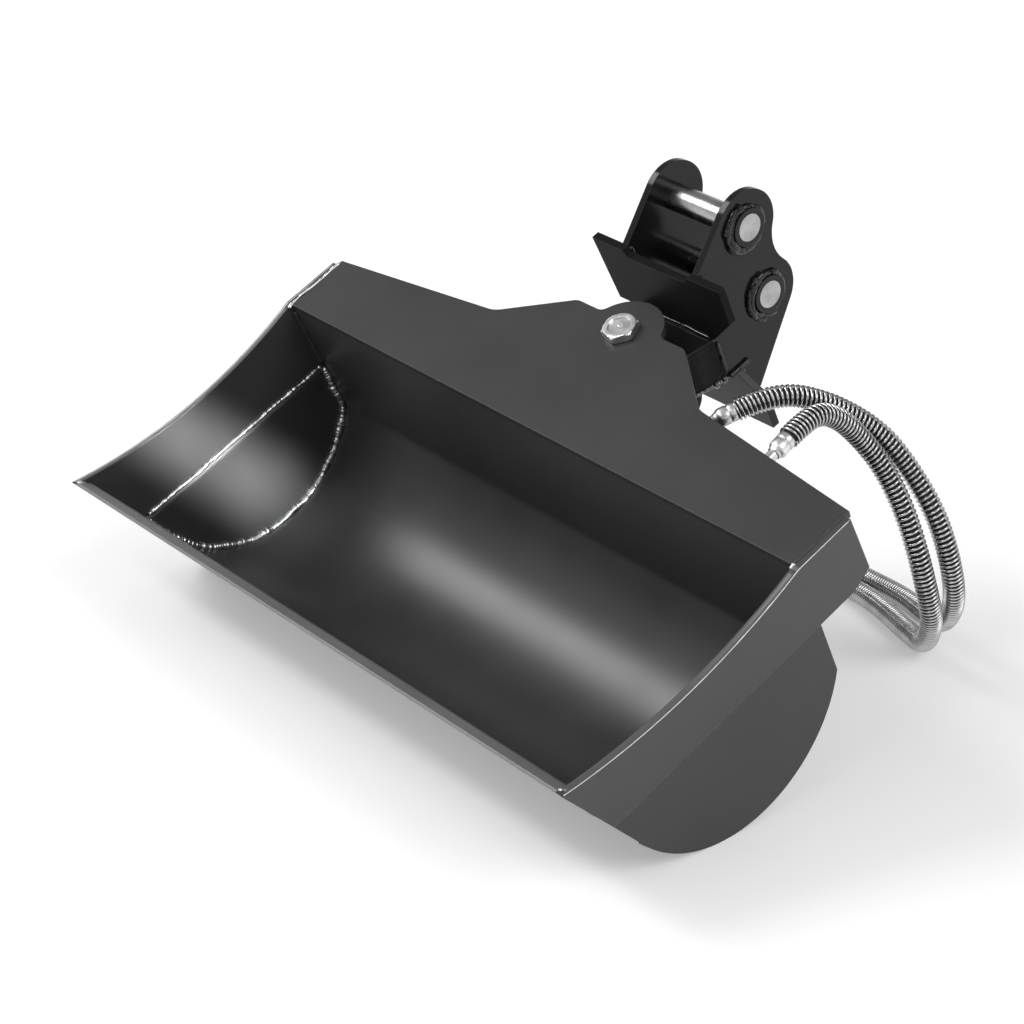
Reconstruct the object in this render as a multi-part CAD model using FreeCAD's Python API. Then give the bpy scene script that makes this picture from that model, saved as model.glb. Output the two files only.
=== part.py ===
import FreeCAD, Part
import math
import os

# Tilt bucket for a mini excavator, in millimetres, +Z up, X across the bucket, -Y the cutting edge.
# Most pieces are drawn in the lid frame: x across, y up along the lid plate, z out of the lid plate,
# with its zero where the inside of the shell meets the top face of the lid plate.

V = FreeCAD.Vector

# Bucket
lip_width = 800.0
lid_slope = 24.0
side_plate = 8.0
lid_plate = 8.0
shell_plate = 6.0
lip_back = 319.6
lip_rise = 2.6
blade_angle = 67.6
roll_radius = 148.6
roll_along = -123.6
strip_depth = 90.0
strip_flare = 8.0
strip_dish = 19.5
strip_top = 72.0
strip_rear = 79.5
strip_chamfer = 12.0
strip_chamfer_along = 24.0
edge_bar_depth = 80.0
edge_bar_plate = 10.0
edge_bevel = 16.0
edge_nose = 3.0
weld_gap = 0.1

# Lid plate outline, from its middle line and from its lower edge
lid_end_height = 79.0
lid_foot_half = 158.5
lid_foot_height = 107.5
lid_foot_round = 30.0
shoulder_half = 82.0
shoulder_height = 164.5
shoulder_round = 14.0
lid_lug_round = 46.0
notch_round = 10.0

# Tilt pivot
pivot_height = 151.7
tilt_pin_dia = 35.0
tilt_thread_dia = 24.0
tilt_nut_flats = 36.0
tilt_nut_height = 10.0
tilt_nut_turn = 49.0
tilt_head_dia = 56.0
tilt_head_height = 8.0
running_fit = 0.05
bush_wall = 4.0
bush_length = 26.0
pivot_tube_dia = 60.0
thrust_gap = 1.0
rear_plate = 8.0
rear_lug_round = 56.0
rear_lug_slope = 30.0
rear_half = 250.0
rear_end_height = 34.0

# Hanger
tongue_top_drop = 42.0
tongue_depth = 56.0
tongue_plate = 8.0
tongue_side_start = 130.0
wing_front = 217.3
wing_plate = 9.0
wing_top = 40.3
wing_half = 96.0
wing_chamfer = 37.0
wing_notch_depth = 8.5
wing_left_taper = 9.0
lower_wing_back = 10.7
lower_wing_half = 92.0
lower_wing_bottom = 166.5
lower_wing_chamfer = 27.0
ear_gap = 98.0
ear_plate = 8.0
ear_lobe = 40.0
ear_waist = 26.9
ear_tip_along = 254.0
ear_tip_drop = 142.0
upper_pin_along = 302.5
upper_pin_rise = 47.0
lower_pin_along = 299.7
lower_pin_rise = -44.5
pin_dia = 30.0
boss_wall = 6.0
boss_height = 6.0
lock_boss_wall = 10.0
lock_boss_height = 13.0
boss_fillet = 3.0
lock_bolt_dia = 8.0
lock_bolt_flats = 11.0
lock_bolt_out = 10.0

# Tilt cylinder and its lever
lever_radius = 70.0
lever_pin_dia = 20.0
lever_wall = 10.0
tilt_limit = 35.0
slot_play = 0.8
rod_eye_wall = 7.5
rod_eye_plate = 28.0
rod_dia = 25.0
rod_eye_neck = 30.0
barrel_dia = 50.0
barrel_wall = 5.0
gland_dia = 56.0
gland_face = 84.0
gland_length = 26.0
barrel_neck = 42.0
piston_length = 26.0
piston_fit = 0.1
seal_depth = 2.0
seal_width = 4.0
base_pin_inset = 82.0
base_eye_radius = 20.0
base_lug_plate = 8.0
base_lug_gap = 1.0
port_dia = 22.0
port_height = 6.0
port_rod_x = 150.5
port_inset = 22.0

# Hydraulic hoses in their steel spring guards
guard_dia = 24.0
pipe_dia = 12.0
pipe_under_lid = 14.0
rear_heading = 64.9
rear_pipe_run = 31.5
rear_lead = 44.8
front_heading = 94.5
front_pipe_run = 23.7
front_lead = 14.6
ferrule_dia = 20.0
ferrule_length = 24.0
connector_flats = 20.0
connector_length = 22.0
connector_bore = 14.0
hose_on_floor = guard_dia / 2 + 0.3

# The route of each hose's middle line, standing on the floor, from the arch to its free end
rear_route = [(217, 208, 314), (248, 250, 277), (274, 269, 235),
              (299, 281, 190), (314, 291, 145), (318, 306, 97), (306, 319, 61), (272, 341, 23),
              (235, 352, hose_on_floor), (194, 361, hose_on_floor), (150, 367, hose_on_floor),
              (100, 364, hose_on_floor), (50, 352, hose_on_floor), (0, 345, hose_on_floor),
              (-50, 347, hose_on_floor), (-100, 356, hose_on_floor)]
front_route = [(248, 159, 323), (251, 190, 312), (256, 217, 285),
               (271, 237, 249), (291, 251, 202), (307, 260, 152), (315, 272, 96), (307, 284, 62),
               (278, 304, 24), (246, 315, hose_on_floor), (201, 331, hose_on_floor),
               (160, 334, hose_on_floor), (110, 326, hose_on_floor), (60, 317, hose_on_floor),
               (10, 311, hose_on_floor), (-40, 314, hose_on_floor), (-90, 322, hose_on_floor)]

# Worked out from the sizes above
half_lip = lip_width / 2
half_inner = half_lip - side_plate
half_plates = half_inner - weld_gap
roll_inner = roll_radius - shell_plate
blade_dir = (math.cos(math.radians(blade_angle)), -math.sin(math.radians(blade_angle)))
blade_out = (blade_dir[1], -blade_dir[0])
tongue_bottom = -tongue_top_drop - tongue_depth
cylinder_z = -tongue_top_drop - tongue_depth / 2
tube_top = -lid_plate - thrust_gap
tube_bottom = tongue_bottom - 3 * thrust_gap
rear_top = tube_bottom - thrust_gap
rear_bottom = rear_top - rear_plate
ear_outer = ear_gap / 2 + ear_plate
wing_back = wing_front + wing_plate
lower_wing_front = wing_front + lower_wing_back
lever_tip = lever_pin_dia / 2 + lever_wall
lever_sag = lever_radius * (1 - math.cos(math.radians(tilt_limit)))
cylinder_along = pivot_height - lever_radius + lever_sag / 2
base_pin_x = half_lip - base_pin_inset
barrel_end = base_pin_x - barrel_neck
barrel_floor = barrel_end - 2 * barrel_wall
piston_middle = (gland_face + gland_length + barrel_floor) / 2
port_base_x = barrel_end - port_inset


def flat(points, z):
    """A wire through (x, y, radius) corners at height z, each corner rounded by its own radius."""
    edges = []
    marks = []
    count = len(points)
    for i in range(count):
        here = V(points[i][0], points[i][1], z)
        before = V(points[i - 1][0], points[i - 1][1], z)
        after = V(points[(i + 1) % count][0], points[(i + 1) % count][1], z)
        radius = points[i][2]
        if radius == 0:
            marks.append((here, here, here))
            continue
        back = (before - here).normalize()
        ahead = (after - here).normalize()
        half = back.getAngle(ahead) / 2
        reach = radius / math.tan(half)
        middle = (back + ahead).normalize()
        centre = here + middle * (radius / math.sin(half))
        marks.append((here + back * reach, centre - middle * radius, here + ahead * reach))
    for i in range(count):
        start, top, end = marks[i]
        if (end - start).Length > 1e-6:
            edges.append(Part.Arc(start, top, end).toShape())
        following = marks[(i + 1) % count][0]
        if (following - end).Length > 1e-6:
            edges.append(Part.LineSegment(end, following).toShape())
    return Part.Wire(edges)


def slab(points, bottom, top):
    """A plate parallel to the lid, with the outline given as (x, y, radius) corners."""
    return Part.Face(flat(points, bottom)).extrude(V(0, 0, top - bottom))


def across(wire, start, end):
    """A plate square to X, from an outline drawn at x = 0."""
    face = Part.Face(wire)
    face.translate(V(start, 0, 0))
    return face.extrude(V(end - start, 0, 0))


def rod_along(direction, point, radius, length):
    """A round bar that starts at the point."""
    return Part.makeCylinder(radius, length, point, direction)


def tube_along(direction, point, outer, inner, length):
    """A round tube that starts at the point."""
    return rod_along(direction, point, outer, length).cut(rod_along(direction, point, inner, length))


def hexagon(direction, point, flats, height):
    """A hexagon bar with its corners cut back as on a turned nut."""
    corner = flats / math.sqrt(3)
    ring = [V(corner * math.cos(math.radians(a)), corner * math.sin(math.radians(a)), 0)
            for a in range(0, 420, 60)]
    bar = Part.Face(Part.makePolygon(ring)).extrude(V(0, 0, height))
    turned = Part.makeCone(flats / 2 + height * 1.4, flats / 2 - 0.6, height * 1.6)
    bar = bar.common(turned)
    bar.Placement = FreeCAD.Placement(point, FreeCAD.Rotation(V(0, 0, 1), direction))
    return bar


def mirrored(shape):
    """The same piece on the other side of the bucket."""
    return shape.mirror(V(0, 0, 0), V(1, 0, 0))


def yz(y, z):
    return V(0, y, z)


def around(centre, radius, degrees):
    """The point on a circle in the Y-Z plane."""
    return yz(centre[0] + radius * math.cos(math.radians(degrees)),
              centre[1] + radius * math.sin(math.radians(degrees)))


def bearing(centre, point):
    return math.degrees(math.atan2(point[1] - centre[1], point[0] - centre[0]))


def touch(point, centre, radius, side):
    """The direction, in degrees, in which a line from the point touches the circle."""
    distance = math.hypot(point[0] - centre[0], point[1] - centre[1])
    return bearing(centre, point) + side * math.degrees(math.acos(radius / distance))


def roll_centre():
    """The centre of the rolled sheet: the blade's outer face runs on into the roll."""
    tip_to_centre = roll_along + lip_back
    height = (tip_to_centre * blade_out[0] + roll_radius) / blade_out[1]
    return (roll_along, lip_rise - height)


def blade_point(along, out):
    """A point on the blade: along it from the tip, and out of its outer face."""
    return (-lip_back + blade_dir[0] * along + blade_out[0] * out,
            lip_rise + blade_dir[1] * along + blade_out[1] * out)


roll = roll_centre()


def roll_end(radius, along):
    """The height at which the rolled sheet reaches the plane of the straight back."""
    return roll[1] - math.sqrt(radius ** 2 - (along - roll[0]) ** 2)


def roll_arc(radius, along):
    """The rolled part of the sheet, from the blade to the straight back."""
    end = (along, roll_end(radius, along))
    straight = 180
    first = straight + (90 - blade_angle)
    last = bearing(roll, end) + 2 * straight
    return first, last, end


def shell():
    """One sheet: flat blade, rolled belly, and a straight back up to the lid."""
    start = edge_bar_depth
    inner_first, inner_last, inner_end = roll_arc(roll_inner, 0)
    outer_first, outer_last, outer_end = roll_arc(roll_radius, shell_plate)
    points = [
        yz(*blade_point(start, -shell_plate)),
        around(roll, roll_inner, inner_first),
        around(roll, roll_inner, (inner_first + inner_last) / 2),
        yz(*inner_end),
        yz(0, -lid_plate),
        yz(shell_plate, -lid_plate),
        yz(*outer_end),
        around(roll, roll_radius, (outer_first + outer_last) / 2),
        around(roll, roll_radius, outer_first),
        yz(*blade_point(start, 0)),
    ]
    wire = Part.Wire([
        Part.LineSegment(points[0], points[1]).toShape(),
        Part.Arc(points[1], points[2], points[3]).toShape(),
        Part.LineSegment(points[3], points[4]).toShape(),
        Part.LineSegment(points[4], points[5]).toShape(),
        Part.LineSegment(points[5], points[6]).toShape(),
        Part.Arc(points[6], points[7], points[8]).toShape(),
        Part.LineSegment(points[8], points[9]).toShape(),
        Part.LineSegment(points[9], points[0]).toShape(),
    ])
    return across(wire, -half_lip, half_lip).common(envelope(half_plates))


def envelope(half_top):
    """The space between two side walls: straight below the fold, flared above it."""
    half_fold = half_top - strip_flare
    long = 2 * lip_width
    ring = [V(-half_fold, -long, -long), V(half_fold, -long, -long), V(half_fold, -long, -strip_depth),
            V(half_top, -long, 0), V(half_top, -long, edge_bevel), V(-half_top, -long, edge_bevel),
            V(-half_top, -long, 0), V(-half_fold, -long, -strip_depth), V(-half_fold, -long, -long)]
    return Part.Face(Part.makePolygon(ring)).extrude(V(0, 2 * long, 0))


def cutting_edge():
    """The thicker bar along the lip, ground to a nose, between the two side strips."""
    corners = [blade_point(0, 0), blade_point(0, -edge_nose), blade_point(edge_bevel, -edge_bar_plate),
               blade_point(edge_bar_depth, -edge_bar_plate), blade_point(edge_bar_depth, 0)]
    outline = Part.makePolygon([yz(*p) for p in corners + corners[:1]])
    return across(outline, -half_lip, half_lip).common(envelope(half_plates))


def end_plate():
    """The flat side of the bucket below the fold, flush with the outside of the sheet."""
    first, last, end = roll_arc(roll_radius, shell_plate)
    fold_on_blade = (strip_depth + lip_rise) / -blade_dir[1]
    low = yz(*blade_point(fold_on_blade, 0))
    points = [low, around(roll, roll_radius, first), around(roll, roll_radius, (first + last) / 2),
              yz(*end), yz(shell_plate, -strip_depth)]
    wire = Part.Wire([
        Part.LineSegment(points[0], points[1]).toShape(),
        Part.Arc(points[1], points[2], points[3]).toShape(),
        Part.LineSegment(points[3], points[4]).toShape(),
        Part.LineSegment(points[4], points[0]).toShape(),
    ])
    outer = half_lip - strip_flare
    return across(wire, outer - side_plate, outer)


def side_strip():
    """The upper side plate: dished front edge, square rear end, flared out from the fold."""
    fold_on_blade = (strip_depth + lip_rise) / -blade_dir[1]
    points = [yz(-lip_back, lip_rise), yz(-lip_back / 2, -strip_dish), yz(0, 0), yz(strip_top, 0),
              yz(strip_rear, strip_chamfer - strip_depth),
              yz(strip_rear - strip_chamfer_along, -strip_depth),
              yz(*blade_point(fold_on_blade, 0))]
    edges = [Part.Arc(points[0], points[1], points[2]).toShape()]
    for a, b in zip(points[2:], points[3:] + points[:1]):
        edges.append(Part.LineSegment(a, b).toShape())
    outer = half_lip - strip_flare
    strip = across(Part.Wire(edges), outer - side_plate, outer)
    turn = math.degrees(math.atan2(strip_flare, strip_depth))
    strip.rotate(V(outer, 0, -strip_depth), V(0, 1, 0), turn)
    return strip


def lid():
    """The front pivot plate: wide foot, two shoulders, notches and a round lug."""
    reach = lid_lug_round + notch_round
    rise = shoulder_height + notch_round - pivot_height
    notch_x = math.sqrt(reach ** 2 - rise ** 2)
    share = lid_lug_round / reach
    lug_x = notch_x * share
    lug_y = pivot_height + rise * share
    body = slab([(-half_inner, 0, 0), (half_inner, 0, 0), (half_inner, lid_end_height, 0),
                 (lid_foot_half, lid_foot_height, lid_foot_round),
                 (shoulder_half, shoulder_height, shoulder_round),
                 (-shoulder_half, shoulder_height, shoulder_round),
                 (-lid_foot_half, lid_foot_height, lid_foot_round),
                 (-half_inner, lid_end_height, 0)], -lid_plate, 0)
    lug = rod_along(V(0, 0, 1), V(0, pivot_height, -lid_plate), lid_lug_round, lid_plate)
    web = slab([(-notch_x, shoulder_height, 0), (notch_x, shoulder_height, 0), (lug_x, lug_y, 0),
                (-lug_x, lug_y, 0)], -lid_plate, 0)
    for side in (-1, 1):
        web = web.cut(rod_along(V(0, 0, 1), V(side * notch_x, shoulder_height + notch_round, -lid_plate),
                                notch_round, lid_plate))
    hole = rod_along(V(0, 0, 1), V(0, pivot_height, -lid_plate),
                     tilt_thread_dia / 2 + running_fit, lid_plate)
    return body.fuse([lug, web]).removeSplitter().cut(hole).common(envelope(half_plates))


def rear_pivot_plate():
    """The second pivot plate, on the back of the sheet, with a round lug for the pin's other end."""
    turn = math.radians(rear_lug_slope)
    lug_x = rear_lug_round * math.cos(turn)
    lug_y = pivot_height + rear_lug_round * math.sin(turn)
    slope_foot = lug_x + (lug_y - lid_foot_height + 2 * rear_plate) * math.tan(turn)
    body = slab([(-rear_half, shell_plate, 0), (rear_half, shell_plate, 0),
                 (rear_half, rear_end_height, 0),
                 (slope_foot, lid_foot_height - 2 * rear_plate, lid_foot_round),
                 (lug_x, lug_y, 0), (-lug_x, lug_y, 0),
                 (-slope_foot, lid_foot_height - 2 * rear_plate, lid_foot_round),
                 (-rear_half, rear_end_height, 0)], rear_bottom, rear_top)
    lug = rod_along(V(0, 0, 1), V(0, pivot_height, rear_bottom), rear_lug_round, rear_plate)
    hole = rod_along(V(0, 0, 1), V(0, pivot_height, rear_bottom),
                     tilt_pin_dia / 2 + running_fit, rear_plate)
    return body.fuse(lug).removeSplitter().cut(hole)


def tilt_pin():
    """The tilt pin: head under the rear plate, shank, and a threaded end through the lid."""
    middle = V(0, pivot_height, 0)
    up = V(0, 0, 1)
    head = rod_along(up, middle + V(0, 0, rear_bottom - tilt_head_height), tilt_head_dia / 2,
                     tilt_head_height)
    shank = rod_along(up, middle + V(0, 0, rear_bottom), tilt_pin_dia / 2, -lid_plate - rear_bottom)
    thread = rod_along(up, middle + V(0, 0, -lid_plate), tilt_thread_dia / 2,
                       lid_plate + tilt_nut_height - 2)
    pin = head.fuse([shank, thread]).removeSplitter()
    centre_drill = Part.makeCone(0, 3, 3, middle + V(0, 0, tilt_nut_height - 5), up)
    return pin.cut(centre_drill)


def tilt_nut():
    """The nut on the pin's threaded end, turned as it was tightened."""
    nut = hexagon(V(0, 0, 1), V(0, pivot_height, 0), tilt_nut_flats, tilt_nut_height)
    nut.rotate(V(0, pivot_height, 0), V(0, 0, 1), tilt_nut_turn)
    return nut.cut(rod_along(V(0, 0, 1), V(0, pivot_height, 0), tilt_thread_dia / 2, tilt_nut_height))


def pivot_tube():
    """The hanger's pivot housing, bored for two bushes."""
    return tube_along(V(0, 0, 1), V(0, pivot_height, tube_bottom), pivot_tube_dia / 2,
                      tilt_pin_dia / 2 + bush_wall, tube_top - tube_bottom)


def tilt_bushes():
    """Two plain bushes, one at each end of the pivot housing."""
    bore = tilt_pin_dia / 2 + running_fit
    bushes = []
    for z in (tube_bottom, tube_top - bush_length):
        bushes.append(tube_along(V(0, 0, 1), V(0, pivot_height, z), tilt_pin_dia / 2 + bush_wall, bore,
                                 bush_length))
    return Part.makeCompound(bushes)


def tongue_outline():
    """The taper from the ears to the round end that holds the lever pin."""
    lever = (0.0, pivot_height - lever_radius)
    corner = (ear_outer, wing_front)
    turn = math.radians(touch(corner, lever, lever_tip, -1))
    near = (lever[0] + lever_tip * math.cos(turn), lever[1] + lever_tip * math.sin(turn))
    return lever, corner, near


def tongue_plate_at(bottom):
    """One of the two tongue plates, with holes for the pivot housing and the lever pin."""
    lever, corner, near = tongue_outline()
    top = bottom + tongue_plate
    ends = [V(-corner[0], corner[1], bottom), V(corner[0], corner[1], bottom),
            V(near[0], near[1], bottom), V(0, lever[1] - lever_tip, bottom),
            V(-near[0], near[1], bottom)]
    wire = Part.Wire([
        Part.LineSegment(ends[0], ends[1]).toShape(),
        Part.LineSegment(ends[1], ends[2]).toShape(),
        Part.Arc(ends[2], ends[3], ends[4]).toShape(),
        Part.LineSegment(ends[4], ends[0]).toShape(),
    ])
    plate = Part.Face(wire).extrude(V(0, 0, tongue_plate))
    inner = ear_gap / 2
    tail = Part.makeBox(2 * inner, lower_wing_front + wing_plate - wing_front, tongue_plate,
                        V(-inner, wing_front, bottom))
    plate = plate.fuse(tail).removeSplitter()
    plate = plate.cut(rod_along(V(0, 0, 1), V(0, pivot_height, bottom), pivot_tube_dia / 2, tongue_plate))
    return plate.cut(rod_along(V(0, 0, 1), V(0, lever[1], bottom), lever_pin_dia / 2 + running_fit,
                               tongue_plate))


def tongue_sides():
    """Two side plates that box the tongue in behind the pivot housing."""
    lever, corner, near = tongue_outline()
    slope = (corner[0] - near[0]) / (corner[1] - near[1])
    low = tongue_side_start
    outer_low = corner[0] - slope * (corner[1] - low)
    sides = []
    for side in (-1, 1):
        ring = [(side * corner[0], corner[1], 0), (side * outer_low, low, 0),
                (side * (outer_low - tongue_plate), low, 0),
                (side * (corner[0] - tongue_plate), corner[1], 0)]
        plate = slab(ring, tongue_bottom + tongue_plate, -tongue_top_drop - tongue_plate)
        sides.append(plate.cut(rod_along(V(0, 0, 1), V(0, pivot_height, tongue_bottom),
                                         pivot_tube_dia / 2, tongue_depth)))
    return Part.makeCompound(sides)


def upright(points, front, back):
    """A plate square to the lid's y direction, with (x, z) corners."""
    ring = [V(x, front, z) for x, z in points]
    return Part.Face(Part.makePolygon(ring + ring[:1])).extrude(V(0, back - front, 0))


def upper_wing():
    """The wide front plate that stands on the tongue, notched between the ears."""
    foot = -tongue_top_drop
    inner = ear_gap / 2
    points = [(-wing_half, wing_top), (-inner, wing_top),
              (-inner + wing_notch_depth / 2, wing_top - wing_notch_depth),
              (inner - wing_notch_depth, wing_top - wing_notch_depth), (inner, wing_top),
              (wing_half, wing_top), (wing_half, foot + wing_chamfer),
              (wing_half - wing_chamfer, foot), (-wing_half + wing_left_taper, foot)]
    return upright(points, wing_front, wing_back)


def lower_wing():
    """The front plate under the tongue, with its upper right corner cut back to the ear."""
    points = [(-lower_wing_half + wing_left_taper, tongue_bottom), (ear_outer, tongue_bottom),
              (lower_wing_half, tongue_bottom - lower_wing_chamfer),
              (lower_wing_half, -lower_wing_bottom),
              (-lower_wing_half + wing_left_taper, -lower_wing_bottom)]
    return upright(points, lower_wing_front, lower_wing_front + wing_plate)


def ear_outline():
    """Two lobes about the pins, a hollow waist behind, and a long tail under the tongue."""
    upper = (upper_pin_along, upper_pin_rise)
    lower = (lower_pin_along, lower_pin_rise)
    foot = (wing_back, wing_top)
    tip = (ear_tip_along, -ear_tip_drop)
    span = math.hypot(upper[0] - lower[0], upper[1] - lower[1]) / 2
    middle = ((upper[0] + lower[0]) / 2, (upper[1] + lower[1]) / 2)
    near = ear_waist
    waist = (near ** 2 + span ** 2 - ear_lobe ** 2) / (2 * (ear_lobe - near))
    hollow = (middle[0] + near + waist, middle[1])
    full_turn = 360
    front_turn = touch(foot, upper, ear_lobe, -1) % full_turn
    rear_turn = touch(tip, lower, ear_lobe, 1)
    upper_turn = bearing(upper, hollow)
    lower_turn = bearing(lower, hollow)
    tail_front = lower_wing_front + wing_plate
    toe = wing_front
    arcs = [
        (around(upper, ear_lobe, front_turn), around(upper, ear_lobe, (front_turn + upper_turn) / 2),
         around(upper, ear_lobe, upper_turn)),
        (around(upper, ear_lobe, upper_turn), yz(hollow[0] - waist, hollow[1]),
         around(lower, ear_lobe, lower_turn)),
        (around(lower, ear_lobe, lower_turn), around(lower, ear_lobe, (lower_turn + rear_turn) / 2),
         around(lower, ear_lobe, rear_turn)),
    ]
    corners = [around(lower, ear_lobe, rear_turn), yz(*tip), yz(tail_front, -ear_tip_drop),
               yz(tail_front, tongue_bottom), yz(toe, tongue_bottom), yz(toe, -tongue_top_drop),
               yz(wing_back, -tongue_top_drop), yz(*foot), around(upper, ear_lobe, front_turn)]
    edges = [Part.Arc(*arc).toShape() for arc in arcs]
    for a, b in zip(corners, corners[1:]):
        edges.append(Part.LineSegment(a, b).toShape())
    return Part.Wire(edges)


def ear():
    plate = across(ear_outline(), ear_gap / 2, ear_outer)
    for along, rise in ((upper_pin_along, upper_pin_rise), (lower_pin_along, lower_pin_rise)):
        plate = plate.cut(rod_along(V(1, 0, 0), V(ear_gap / 2, along, rise), pin_dia / 2, ear_plate))
    return plate


def pin_bosses(height, wall, side):
    """Two welded rings round the pin ends on one ear, coned at the weld."""
    rings = []
    for along, rise in ((upper_pin_along, upper_pin_rise), (lower_pin_along, lower_pin_rise)):
        radius = pin_dia / 2 + wall
        start = V(side * ear_outer, along, rise)
        ring = rod_along(V(side, 0, 0), start, radius, height)
        weld = Part.makeCone(radius + boss_fillet, radius, boss_fillet, start, V(side, 0, 0))
        rings.append(ring.fuse(weld).removeSplitter().cut(
            rod_along(V(side, 0, 0), start, pin_dia / 2, height)))
    return rings


def hanger_pin(along, rise):
    """A hanger pin from boss face to boss face."""
    start = -ear_outer - lock_boss_height
    return rod_along(V(1, 0, 0), V(start, along, rise), pin_dia / 2, ear_outer + boss_height - start)


def lock_bolts():
    """One bolt through each boss of the left ear, which keeps its pin in place."""
    bolts = []
    x = -ear_outer - lock_boss_height / 2
    boss = pin_dia / 2 + lock_boss_wall
    for along, rise in ((upper_pin_along, upper_pin_rise), (lower_pin_along, lower_pin_rise)):
        shank = rod_along(V(0, -1, 0), V(x, along - pin_dia / 2, rise), lock_bolt_dia / 2,
                          lock_boss_wall + lock_bolt_out)
        head = hexagon(V(0, -1, 0), V(x, along - boss - lock_bolt_out / 2, rise), lock_bolt_flats,
                       lock_bolt_out)
        bolts.append(shank.fuse(head).removeSplitter())
    return bolts


def lever_pin():
    """The headed pin between the tongue plates that the rod eye works on."""
    base = V(0, pivot_height - lever_radius, tongue_bottom)
    shank = rod_along(V(0, 0, 1), base, lever_pin_dia / 2, tongue_depth)
    head = rod_along(V(0, 0, 1), base + V(0, 0, tongue_depth), lever_tip - 2, rear_plate / 2)
    return shank.fuse(head).removeSplitter()


def rod_eye():
    """The rod's eye, slotted for the lever pin's rise and fall."""
    half = lever_pin_dia / 2 + slot_play
    rise = lever_sag / 2
    low = cylinder_z - rod_eye_plate / 2
    outer = half + rod_eye_wall

    def stadium(radius):
        top = cylinder_along + rise
        bottom = cylinder_along - rise
        wire = Part.Wire([
            Part.Arc(V(radius, top, low), V(0, top + radius, low), V(-radius, top, low)).toShape(),
            Part.LineSegment(V(-radius, top, low), V(-radius, bottom, low)).toShape(),
            Part.Arc(V(-radius, bottom, low), V(0, bottom - radius, low),
                     V(radius, bottom, low)).toShape(),
            Part.LineSegment(V(radius, bottom, low), V(radius, top, low)).toShape(),
        ])
        return Part.Face(wire).extrude(V(0, 0, rod_eye_plate))

    neck = rod_along(V(1, 0, 0), V(half, cylinder_along, cylinder_z), rod_dia / 2 + 1.5,
                     rod_eye_neck - half)
    return stadium(outer).fuse(neck).removeSplitter().cut(stadium(half))


def rod():
    """The chromed rod, from the eye's neck to the piston, with a turned-down end for the piston."""
    start = rod_eye_neck
    end = piston_middle + piston_length / 2
    bar = rod_along(V(1, 0, 0), V(start, cylinder_along, cylinder_z), rod_dia / 2,
                    end - piston_length - start)
    spigot = rod_along(V(1, 0, 0), V(end - piston_length, cylinder_along, cylinder_z),
                       rod_dia / 2 - 4, piston_length)
    return bar.fuse(spigot).removeSplitter()


def piston():
    """The piston on the rod's spigot, with two seal grooves."""
    start = piston_middle - piston_length / 2
    bore = barrel_dia / 2 - barrel_wall
    body = tube_along(V(1, 0, 0), V(start, cylinder_along, cylinder_z), bore - piston_fit,
                      rod_dia / 2 - 4, piston_length)
    for x in seal_places():
        body = body.cut(tube_along(V(1, 0, 0), V(x, cylinder_along, cylinder_z), bore,
                                   bore - piston_fit - seal_depth, seal_width))
    return body


def seal_places():
    first = piston_middle - piston_length / 4 - seal_width / 2
    return (first, first + piston_length / 2)


def piston_seals():
    bore = barrel_dia / 2 - barrel_wall
    return Part.makeCompound([
        tube_along(V(1, 0, 0), V(x, cylinder_along, cylinder_z), bore - piston_fit / 2,
                   bore - piston_fit - seal_depth, seal_width) for x in seal_places()])


def barrel():
    """The cylinder barrel with its closed base, base eye and two port bosses."""
    bore = barrel_dia / 2 - barrel_wall
    outer = rod_along(V(1, 0, 0), V(gland_face + seal_width, cylinder_along, cylinder_z), barrel_dia / 2,
                      barrel_end - gland_face - seal_width)
    eye = rod_along(V(0, 0, 1), V(base_pin_x, cylinder_along, cylinder_z - rod_eye_plate / 2),
                    base_eye_radius, rod_eye_plate)
    neck = Part.makeBox(base_pin_x - barrel_end, 2 * base_eye_radius - barrel_wall, rod_eye_plate,
                        V(barrel_end, cylinder_along - base_eye_radius + barrel_wall / 2,
                          cylinder_z - rod_eye_plate / 2))
    bosses = [rod_along(V(0, 0, 1), V(x, cylinder_along, cylinder_z), port_dia / 2,
                        barrel_dia / 2 + port_height) for x in (port_rod_x, port_base_x)]
    body = outer.fuse([eye, neck] + bosses).removeSplitter()
    body = body.cut(rod_along(V(1, 0, 0), V(gland_face, cylinder_along, cylinder_z), bore,
                              barrel_floor - gland_face))
    for x in (port_rod_x, port_base_x):
        body = body.cut(rod_along(V(0, 0, 1), V(x, cylinder_along, cylinder_z + bore / 2), pipe_dia / 4,
                                  barrel_dia))
    return body.cut(rod_along(V(0, 0, 1), V(base_pin_x, cylinder_along, cylinder_z - rod_eye_plate),
                              lever_pin_dia / 2 + running_fit, 2 * rod_eye_plate))


def gland():
    """The gland in the open end of the barrel, bored for the rod."""
    bore = barrel_dia / 2 - barrel_wall
    cap = rod_along(V(1, 0, 0), V(gland_face - seal_width, cylinder_along, cylinder_z), gland_dia / 2,
                    2 * seal_width)
    plug = rod_along(V(1, 0, 0), V(gland_face, cylinder_along, cylinder_z), bore, gland_length)
    body = cap.fuse(plug).removeSplitter()
    body = body.cut(rod_along(V(1, 0, 0), V(gland_face - seal_width, cylinder_along, cylinder_z),
                              rod_dia / 2 + running_fit, gland_length + seal_width))
    return body.cut(rod_along(V(1, 0, 0), V(gland_face - seal_width, cylinder_along, cylinder_z),
                              rod_dia / 2 + seal_depth, seal_width))


def rod_wiper():
    return tube_along(V(1, 0, 0), V(gland_face - seal_width, cylinder_along, cylinder_z),
                      rod_dia / 2 + seal_depth, rod_dia / 2 + running_fit, seal_width)


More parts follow.
